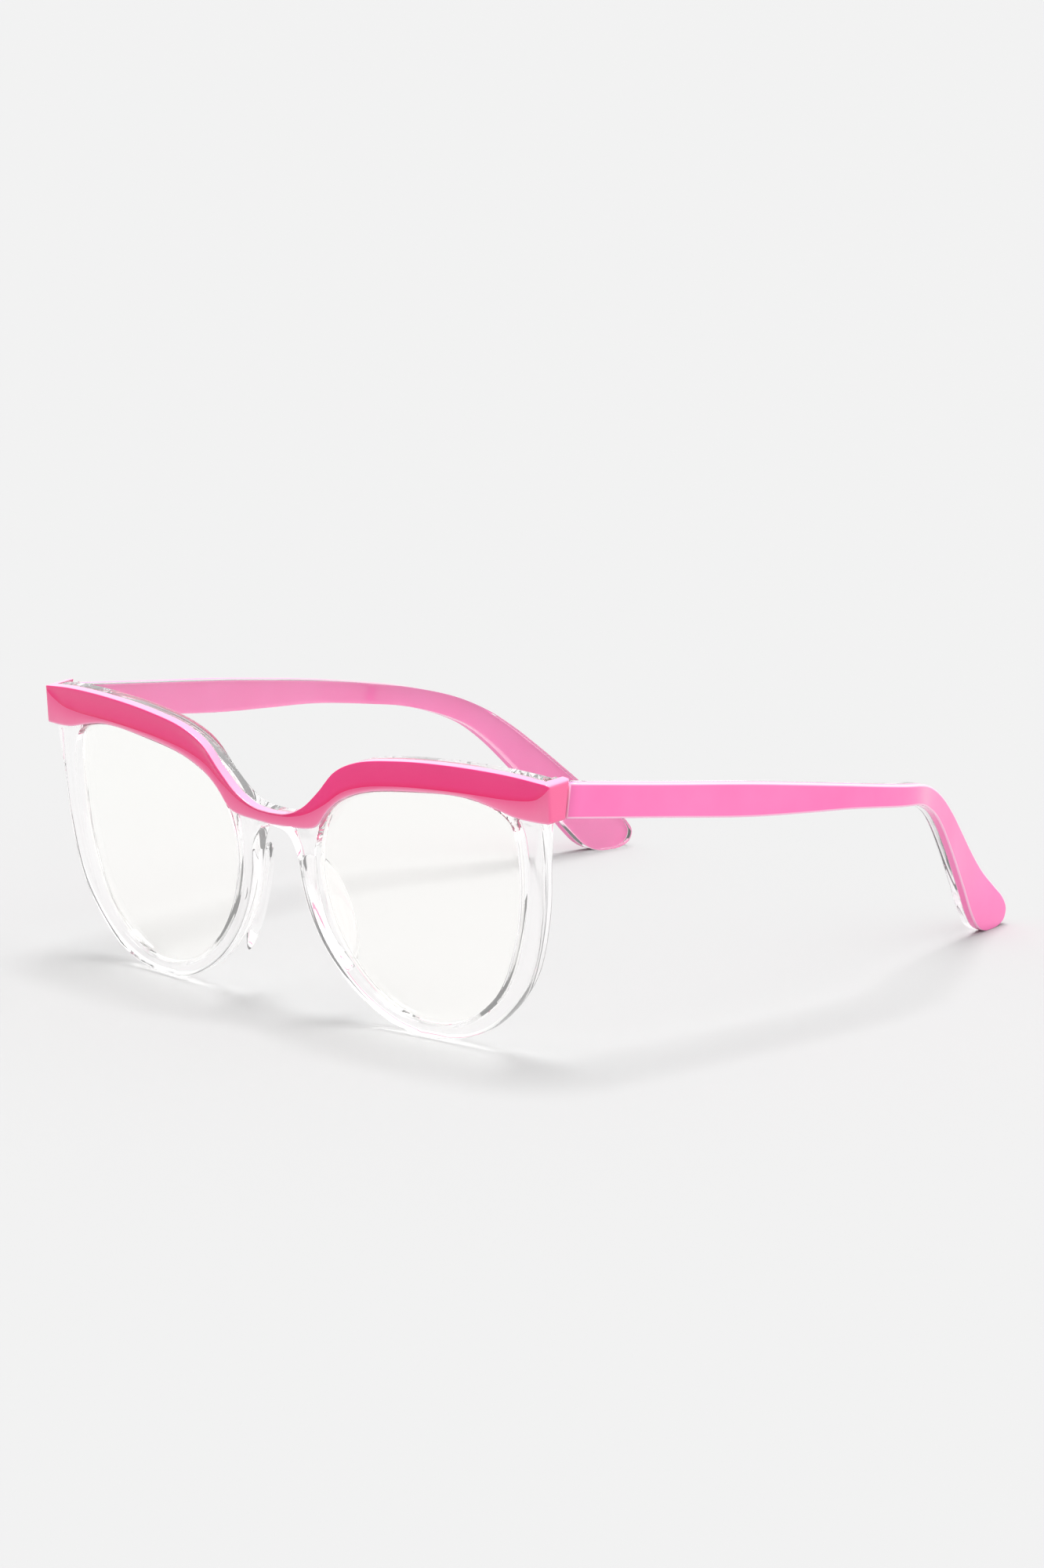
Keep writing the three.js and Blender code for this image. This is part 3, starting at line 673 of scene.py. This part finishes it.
def plate_with_walls(bm, rings, cuts):
    """Each ring is its points, whether it bounds an opening, its widest radius and its steps. The
    wall is drawn back step by step, then the front and the back are filled and cut across so that
    they bend. Each cut is a point, a normal and a test for the faces it crosses."""
    home = bm.verts.layers.float_vector.new("home")
    outwards = bm.verts.layers.float_vector.new("outwards")
    radius = bm.verts.layers.float.new("radius")
    level = bm.faces.layers.int.new("level")
    front_edges, back_edges = [], []
    for points, is_opening, widest, steps in rings:
        out_sign = 1 if run_area(points) > 0 else -1
        out_sign = -out_sign if is_opening else out_sign
        verts = []
        for before, here, after in zip(points[-1:] + points[:-1], points, points[1:] + points[:1]):
            run = (after - before).normalized()
            vert = bm.verts.new((here.x, here.y, 0))
            vert[home] = (here.x, here.y, 0)
            vert[outwards] = (run.y * out_sign, -run.x * out_sign, 0)
            vert[radius] = buffed_radius(here.x, here.y, widest)
            verts.append(vert)
        ring = [bm.edges.new(pair) for pair in zip(verts, verts[1:] + verts[:1])]
        fresh = verts
        for k, (share, extra, depth, back_share) in enumerate(steps):
            if k:
                made = bmesh.ops.extrude_edge_only(bm, edges=ring)["geom"]
                fresh = [g for g in made if isinstance(g, bmesh.types.BMVert)]
                ring = [g for g in made if isinstance(g, bmesh.types.BMEdge)]
            for vert in fresh:
                inset = share * vert[radius] + extra
                vert.co = vert[home] - vert[outwards] * inset
                vert.co.z = depth + back_share * vert[radius]
            if k == 0:
                front_edges += ring
        back_edges += ring
    for mark, edges in ((1, front_edges), (2, back_edges)):
        filled = bmesh.ops.triangle_fill(bm, edges=edges, use_beauty=True, use_dissolve=False)
        for face in (g for g in filled["geom"] if isinstance(g, bmesh.types.BMFace)):
            face[level] = mark
    for point, normal, keep in cuts:
        faces = [f for f in bm.faces if f[level] and keep(f)]
        geom = {*faces, *(e for f in faces for e in f.edges), *(v for f in faces for v in f.verts)}
        bmesh.ops.bisect_plane(bm, geom=list(geom), dist=1e-5, plane_co=point, plane_no=normal)
    return level


front_steps = [*fillet(RIM_SETBACK, 1), *reversed(fillet(FRONT_DEPTH, -1))]
groove_steps = [
    *fillet(RIM_SETBACK, 1),
    (0, 0, LENS_MIDDLE - GROOVE_HALF, 0),
    (0, GROOVE_REACH, LENS_MIDDLE, 0),
    (0, 0, LENS_MIDDLE + GROOVE_HALF, 0),
    *reversed(fillet(FRONT_DEPTH, -1)),
]


def always(face):
    """Every face."""
    return True


def in_strip(left, right):
    """The faces between two upright lines."""
    def within(face):
        return left < face.calc_center_median().x < right

    return within


# The face is cut in upright strips, then along a line just above the bar's lower edge. Past that
# line the plate steps back behind the bar, and past the block line it runs on to the temple joint.
STRIP = 2.0
STRIPS = 34
HIDE_ABOVE = 0.5
HIDDEN_DEPTH = 1.35
FACE_LAYER = 0.3
BLOCK_LENGTH = 3.8
BLOCK_OVER_BOTTOM = 0.3

cuts = [((STRIP * i, 0, 0), (1, 0, 0), always) for i in range(1 - STRIPS, STRIPS)]
for i in range(-STRIPS, STRIPS):
    left, right = STRIP * i, STRIP * (i + 1)
    low, high = brow_bottom(abs(left)) + HIDE_ABOVE, brow_bottom(abs(right)) + HIDE_ABOVE
    cuts.append(((left, low, 0), (low - high, right - left, 0), in_strip(left, right)))
for side in (-1, 1):
    cuts.append(((side * (END_HALF_WIDTH - BLOCK_LENGTH), 0, 0), (1, 0, 0), always))

bm = bmesh.new()
level = plate_with_walls(
    bm,
    [
        (outline, False, RIM_ROUND, front_steps),
        (opening_left, True, OPENING_ROUND, groove_steps),
        (mirror_line(opening_left), True, OPENING_ROUND, groove_steps),
    ],
    cuts,
)
for vert in bm.verts:
    if vert.co.z < RIM_SETBACK + FACE_LAYER:
        above = vert.co.y - brow_bottom(abs(vert.co.x))
        vert.co.z += HIDDEN_DEPTH * min(max(above / HIDE_ABOVE, 0.0), 1.0)
block = [
    f for f in bm.faces
    if f[level] == 2 and abs(f.calc_center_median().x) > END_HALF_WIDTH - BLOCK_LENGTH
    and f.calc_center_median().y > END_BOTTOM + BLOCK_OVER_BOTTOM
]
raised = bmesh.ops.extrude_face_region(bm, geom=block)["geom"]
bmesh.ops.delete(bm, geom=block, context="FACES")
for vert in (g for g in raised if isinstance(g, bmesh.types.BMVert)):
    vert.co.z = joint_depth(vert.co.x, vert.co.y)
for vert in bm.verts:
    vert.co = on_front(*vert.co)
finish_piece(bm, "clear_front", crystal, "front", "crystal_front")

# ---- Lenses ----
# Plano lenses with a faint warm tint. Each is a thin shell with a gentle dome and a V edge that
# sits in its rim's groove.

LENS_THICKNESS = 1.5
LENS_DOME = 1.1
LENS_CENTRE = (36.0, 26.0)
LENS_HALF_SPAN = 27.0
LENS_SHOULDER = 0.12
LENS_SUPPORT = 0.6
LENS_REACH = 0.66
LENS_EDGE_HALF = 0.06
LENS_CELL = 3
LENS_CELLS = 9

# The lenses carry a faint painted glow, so they read a little brighter than the card behind.
lens_tint = clear_acetate(
    "lens_tint", (0.995, 0.993, 0.975), (0.99, 0.988, 0.965),
    gloss=0.02, ripple=0.02, painted_glow=0.04, shade=0.97,
)

for side, word in ((1, "left"), (-1, "right")):
    bm = bmesh.new()
    edge = opening_left if side > 0 else mirror_line(opening_left)
    near, far = LENS_MIDDLE - LENS_THICKNESS / 2, LENS_MIDDLE + LENS_THICKNESS / 2
    steps = [
        (0, LENS_SUPPORT, near, 0),
        (0, LENS_SHOULDER, near, 0),
        (0, -LENS_REACH, LENS_MIDDLE - LENS_EDGE_HALF, 0),
        (0, -LENS_REACH, LENS_MIDDLE + LENS_EDGE_HALF, 0),
        (0, LENS_SHOULDER, far, 0),
        (0, LENS_SUPPORT, far, 0),
    ]
    centre = Vector((side * LENS_CENTRE[0], LENS_CENTRE[1]))
    lines = [LENS_CELL * k for k in range(-LENS_CELLS, LENS_CELLS + 1)]
    grid = [((centre.x + at, 0, 0), (1, 0, 0), always) for at in lines]
    grid += [((0, centre.y + at, 0), (0, 1, 0), always) for at in lines]
    plate_with_walls(bm, [(edge, False, 0.0, steps)], grid)
    for vert in bm.verts:
        off = vert.co.xy - centre
        vert.co.z -= LENS_DOME * max(0.0, 1 - (off.length / LENS_HALF_SPAN) ** 2)
        vert.co = on_front(*vert.co)
    finish_piece(bm, f"lens_{word}_tinted", lens_tint, "front", f"lens_{word}")

# ---- Nose pads ----
# Clear lens-shaped pads, cemented on the back of the rims beside the bridge and buffed smooth.

PAD_MIDDLE = (10.0, 19.5, 5.0)
PAD_SIZE = (1.7, 12.0, 4.8)
PAD_SPLAY = math.radians(19)
PAD_FLARE = math.radians(28)
PAD_CEMENT = 0.02

for side, word in ((1, "left"), (-1, "right")):
    bm = bmesh.new()
    bmesh.ops.create_uvsphere(bm, u_segments=64, v_segments=40, radius=1)
    shape = (
        Matrix.Translation((side * PAD_MIDDLE[0], PAD_MIDDLE[1], PAD_MIDDLE[2]))
        @ Matrix.Rotation(side * PAD_SPLAY, 4, "Z")
        @ Matrix.Rotation(side * PAD_FLARE, 4, "Y")
        @ Matrix.Diagonal((*PAD_SIZE, 1))
    )
    bmesh.ops.transform(bm, matrix=shape, verts=bm.verts)
    bmesh.ops.bisect_plane(
        bm, geom=[*bm.verts, *bm.edges, *bm.faces], dist=1e-4,
        plane_co=(0, 0, FRONT_DEPTH + PAD_CEMENT), plane_no=(0, 0, -1), clear_outer=True,
    )
    bmesh.ops.holes_fill(bm, edges=bm.edges, sides=0)
    for vert in bm.verts:
        vert.co = on_front(*vert.co)
    finish_piece(bm, f"nose_pad_{word}_clear", crystal, "front", f"nose_pad_{word}")

# ---- Temples ----
# Two layers of sheet bonded together, pink outside and clear inside, cut to one outline, bowed to
# the head and bent down behind the ear to a paddle tip.

TEMPLE_PINK = 1.7
TEMPLE_CLEAR = 1.9
TEMPLE_SEAM = 0.15
TEMPLE_HALF = (TEMPLE_PINK + TEMPLE_CLEAR + TEMPLE_SEAM) / 2
BOND = 0.03
TEMPLE_ROUNDS = (0.5, 0.5, 0.06, 0.06)
# The temples use the brow's pink made lighter, as painted light for the lamps on their sides.
TEMPLE_PINK_PAINTED_LIT = (0.95, 0.15, 0.43)
TEMPLE_CLOUD_PAINTED_LIT = (0.97, 0.24, 0.54)
# How strongly the outer rounds are paled with a painted highlight.
TEMPLE_ROUND_PAINTED_HIGHLIGHT = -0.8


def butt_corner(end):
    """A corner of the temple's butt face at the joint, as (y, z)."""
    fall_cos, fall_sin = math.cos(TEMPLE_SLOPE), math.sin(TEMPLE_SLOPE)
    gap, rise = JOINT_GAP / 2, end * JOINT_HALF_HEIGHT
    y = JOINT_DEPTH + gap * fall_cos + rise * fall_sin
    return (y, JOINT_HEIGHT - gap * fall_sin + rise * fall_cos)


TEMPLE_UPPER = [
    butt_corner(1), (30, 50.2), (52, 47.3), (66, 45.2), (80, 43.0), (95, 40.4), (104, 38.7), (112, 36.3),
    (118.5, 33.0), (124, 29.0), (130, 23.7), (136, 18.1), (142, 12.6), (147.1, 8.5), (150.3, 5.8),
    (151.77, 3.3), (151.0, 1.2), (148.8, 0.2), (147.2, 0.0),
]
TEMPLE_LOWER = [
    butt_corner(-1), (29.2, 43.6), (51.2, 40.7), (65.3, 39.4), (79.4, 38.2), (94.4, 36.1), (102.6, 34.8),
    (109.4, 32.6), (114.6, 30.0), (119, 26.4), (124.1, 20.9), (128.8, 15.2), (132.9, 10.0), (135.6, 6.2),
    (137.4, 4.0), (139.2, 2.1), (141.2, 0.75), (143.2, 0.1), (144.6, 0.0),
]
TEMPLE_PLAN = [
    (6, 67.45), (35, 70.8), (65, 73.7), (86, 74.6), (99, 72.3), (111, 66.3), (125, 60.3), (140, 54.5),
    (153, 51.9),
]
temple_plan = height_along(TEMPLE_PLAN, 16)
# A lighter copy of the pink acetate, with painted light in its tones.
temple_pink_painted_lit = add_painted_shade_and_highlight(
    acetate("pale_pink_acetate", TEMPLE_PINK_PAINTED_LIT, TEMPLE_CLOUD_PAINTED_LIT, gloss=0.18, ripple=0.25),
    PAINTED_SCOOP_SHADE_TONE, PAINTED_HIGHLIGHT_TONE,
)
# The clear layer carries a faint painted glow as well.
temple_crystal = clear_acetate(
    "temple_crystal", (0.99, 0.97, 0.98), (0.98, 0.95, 0.97),
    gloss=0.04, ripple=0.15, painted_glow=0.022, shade=0.7,
)
upper_edge = curve_through(TEMPLE_UPPER, 8)
lower_edge = curve_through(TEMPLE_LOWER, 8)


def temple_point(edge_point, offset, side):
    """A point of a temple's edge, moved out or in from the middle of its thickness."""
    slope = temple_plan(edge_point.x + 0.5) - temple_plan(edge_point.x - 0.5)
    x = temple_plan(edge_point.x) + offset * math.hypot(1, slope)
    return Vector((side * x, edge_point.x, edge_point.y))


def temple_layer(name, side, buffed, bonded, material, stands_for):
    """One layer, from its buffed face to its bonded face, given as distances from the middle. The
    points inside the two buffed rounds carry a painted highlight."""
    bm = bmesh.new()
    sections = []
    for high, low in zip(upper_edge, lower_edge):
        corners = [
            temple_point(high, buffed, side), temple_point(low, buffed, side),
            temple_point(low, bonded, side), temple_point(high, bonded, side),
        ]
        sections.append(rounded(corners, TEMPLE_ROUNDS))
    sweep(bm, sections)
    number = bm.verts.layers.int["number"]
    painted_light = bm.verts.layers.float.new("painted_light")
    per_corner = len(sections[0]) // 4
    for vert in bm.verts:
        corner, step = divmod(vert[number], per_corner)
        # The rounds on the buffed face get a painted highlight.
        if corner < 2 and 1 < step < per_corner - 2:
            vert[painted_light] = TEMPLE_ROUND_PAINTED_HIGHLIGHT
        vert.co = place(*vert.co)
    word = "left" if side > 0 else "right"
    finish_piece(bm, f"{name}_{word}", material, f"temple_{word}", f"{stands_for}_{word}")


seam = TEMPLE_HALF - TEMPLE_PINK - TEMPLE_SEAM / 2
for side in (1, -1):
    temple_layer("temple_pink", side, TEMPLE_HALF, seam, temple_pink_painted_lit, "temple_outer")
    temple_layer(
        "temple_clear", side, -TEMPLE_HALF, seam - BOND,
        temple_crystal, "temple_inner",
    )

# ---- Hinges and screws ----
# Nickel silver leaves with rolled knuckles, held by small steel screws with plain low heads. They
# follow the solids of the frame, with their sharp edges broken.

STROKES_PER_METRE = (9000, 900, 900)
STROKE_DEPTH = 0.01

worked = bpy.data.node_groups.new("worked_metal", "ShaderNodeTree")
for socket_name, kind in (("Tone", "Color"), ("Shade", "Color"), ("Dullness", "Float")):
    worked.interface.new_socket(socket_name, in_out="INPUT", socket_type=f"NodeSocket{kind}")
for socket_name, kind in surface_outputs:
    worked.interface.new_socket(socket_name, in_out="OUTPUT", socket_type=f"NodeSocket{kind}")
group = worked.nodes
entry, out = group.new("NodeGroupInput"), group.new("NodeGroupOutput")
where = group.new("ShaderNodeTexCoord")
stretch = group.new("ShaderNodeMapping")
stretch.inputs["Scale"].default_value = STROKES_PER_METRE
worked.links.new(where.outputs["Object"], stretch.inputs["Vector"])
strokes = group.new("ShaderNodeTexNoise")
strokes.inputs["Scale"].default_value = 1.0
strokes.inputs["Detail"].default_value = 4
worked.links.new(stretch.outputs["Vector"], strokes.inputs["Vector"])
tones = group.new("ShaderNodeMix")
tones.data_type = "RGBA"
worked.links.new(strokes.outputs["Fac"], tones.inputs["Factor"])
worked.links.new(entry.outputs["Tone"], tones.inputs["A"])
worked.links.new(entry.outputs["Shade"], tones.inputs["B"])
worked.links.new(tones.outputs["Result"], out.inputs["Color"])
dull = group.new("ShaderNodeMath")
dull.operation = "MULTIPLY"
worked.links.new(strokes.outputs["Fac"], dull.inputs[0])
worked.links.new(entry.outputs["Dullness"], dull.inputs[1])
worked.links.new(dull.outputs[0], out.inputs["Roughness"])
brushed = group.new("ShaderNodeBump")
brushed.inputs["Distance"].default_value = STROKE_DEPTH * MM
brushed.inputs["Strength"].default_value = 0.5
worked.links.new(strokes.outputs["Fac"], brushed.inputs["Height"])
worked.links.new(brushed.outputs["Normal"], out.inputs["Normal"])


def worked_metal(name, tone, shade, dullness):
    """Metal with fine tool strokes in two tones, as dull as given where the strokes are deepest."""
    material = bpy.data.materials.new(name)
    material.use_nodes = True
    tree = material.node_tree
    surface = tree.nodes.new("ShaderNodeGroup")
    surface.node_tree = worked
    surface.inputs["Tone"].default_value = (*tone, 1)
    surface.inputs["Shade"].default_value = (*shade, 1)
    surface.inputs["Dullness"].default_value = dullness
    shader = tree.nodes["Principled BSDF"]
    shader.inputs["Metallic"].default_value = 1.0
    tree.links.new(surface.outputs["Color"], shader.inputs["Base Color"])
    tree.links.new(surface.outputs["Roughness"], shader.inputs["Roughness"])
    tree.links.new(surface.outputs["Normal"], shader.inputs["Normal"])
    return material


nickel_silver = worked_metal("nickel_silver", (0.66, 0.62, 0.56), (0.52, 0.49, 0.45), dullness=0.55)
screw_steel = worked_metal("screw_steel", (0.6, 0.61, 0.63), (0.45, 0.46, 0.48), dullness=0.4)

FLAT_ANGLE = math.radians(2)
SHARP_ANGLE = math.radians(40)
BROKEN_EDGE = 0.07


def sharp_edges(bm):
    """The edges that a file would break."""
    return [e for e in bm.edges if e.is_manifold and e.calc_face_angle() > SHARP_ANGLE]


for name, node in sorted(frame["nodes"].items()):
    if "hinge" not in name and "screw" not in name:
        continue
    bm = bmesh.new()
    bm.from_mesh(node.data)
    bmesh.ops.remove_doubles(bm, verts=bm.verts, dist=1e-6)
    bmesh.ops.dissolve_limit(bm, angle_limit=FLAT_ANGLE, verts=bm.verts, edges=bm.edges)
    bmesh.ops.bevel(
        bm, geom=sharp_edges(bm), offset=BROKEN_EDGE * MM, affect="EDGES",
        segments=2, profile=0.5, material=-1, clamp_overlap=True,
    )
    word = "left" if "left" in name else "right"
    body = f"temple_{word}" if name.startswith("temple") else "front"
    metal, slot_name = nickel_silver, "nickel_silver"
    if "screw" in name:
        metal, slot_name = screw_steel, "screw_steel"
    finish_piece(bm, f"{name}_finished", metal, body, name)

low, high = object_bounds()
